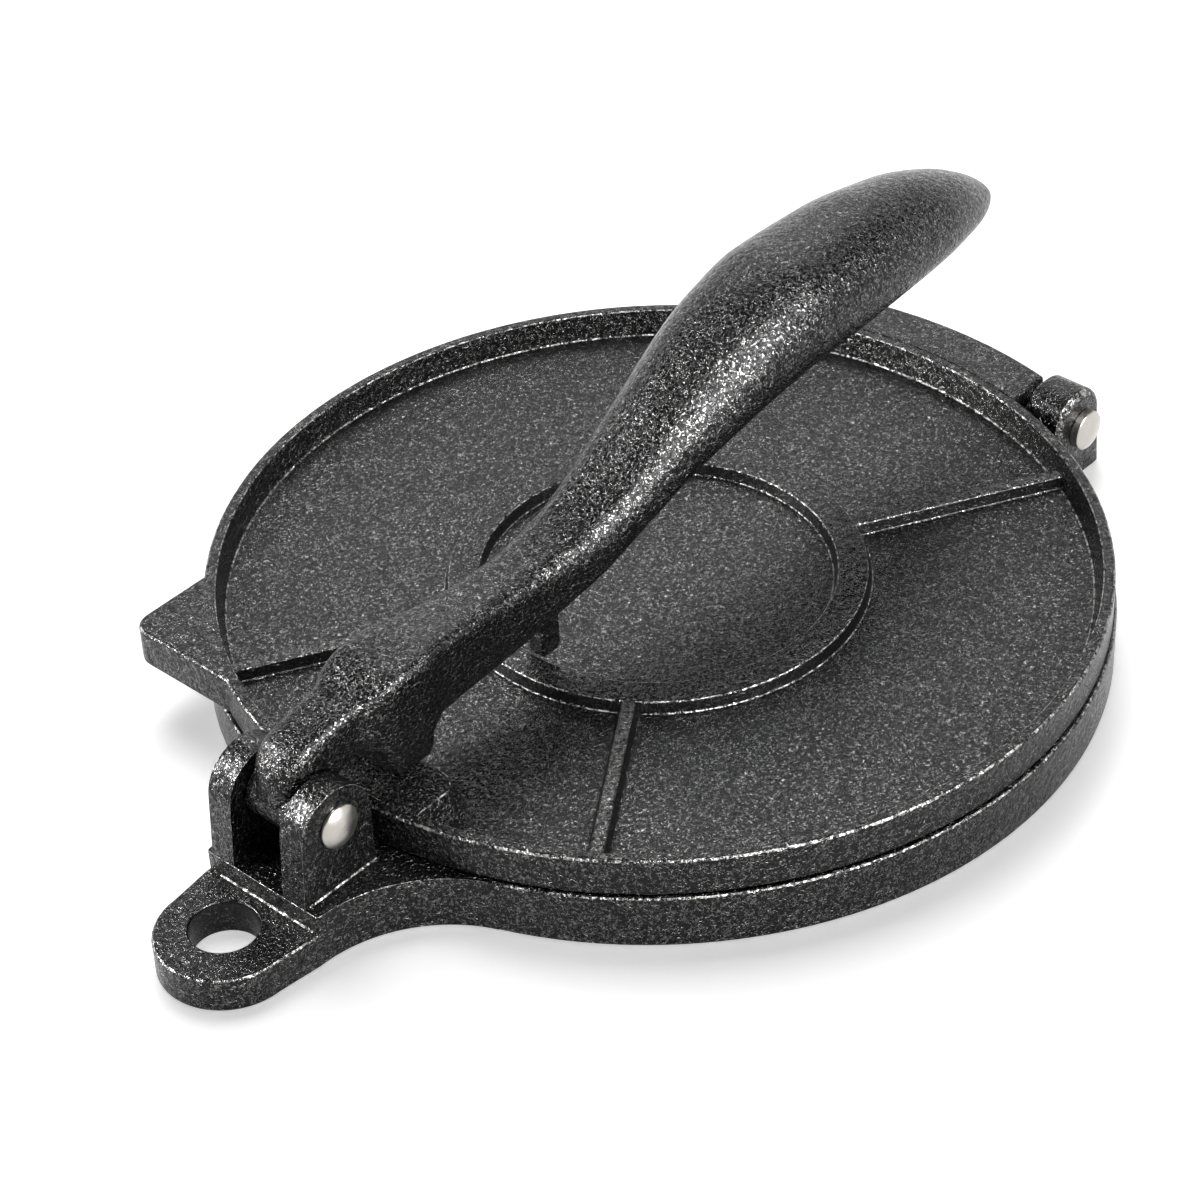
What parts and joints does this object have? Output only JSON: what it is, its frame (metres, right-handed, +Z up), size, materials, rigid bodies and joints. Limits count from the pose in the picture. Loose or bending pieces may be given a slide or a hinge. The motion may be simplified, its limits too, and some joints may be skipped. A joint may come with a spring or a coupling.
{
  "type": "tortilla press",
  "caption": "Cast tortilla press: two round plates hinged at the back, closed by a long cam lever pivoted over a tail with a hanging hole.",
  "frame": {"origin": "on the table plane, at the middle of the press's whole length and width", "axes": "+X runs along the press from the hanging tail to the plate hinge, +Y is across it, +Z is up; the handle points along +X"},
  "size_m": [0.2766, 0.2096, 0.0823],
  "materials": {
    "casting": "dark seasoned cast surface, fine grain, satin",
    "pin_steel": "satin"
  },
  "bodies": {
    "base": {"base_plate": "casting", "lever_pin": "pin_steel", "lever_pin_cap": "pin_steel", "hinge_pin": "pin_steel", "hinge_pin_cap": "pin_steel"},
    "upper": {"upper_plate": "casting"},
    "lever": {"press_lever": "casting"}
  },
  "joints": [
    {"name": "lever_swing", "type": "hinge", "parent": "base", "child": "lever", "pos_m": [-0.1001, 0, 0.0294], "axis": [0, -1, 0], "range_deg": [0, 170]},
    {"name": "plate_swing", "type": "hinge", "parent": "base", "child": "upper", "pos_m": [0.1287, 0, 0.0137], "axis": [0, 1, 0], "range_deg": [0, 110]}
  ],
  "couplings": [
    {"joint": "plate_swing", "follows": "lever_swing", "ratio": 0.1}
  ]
}
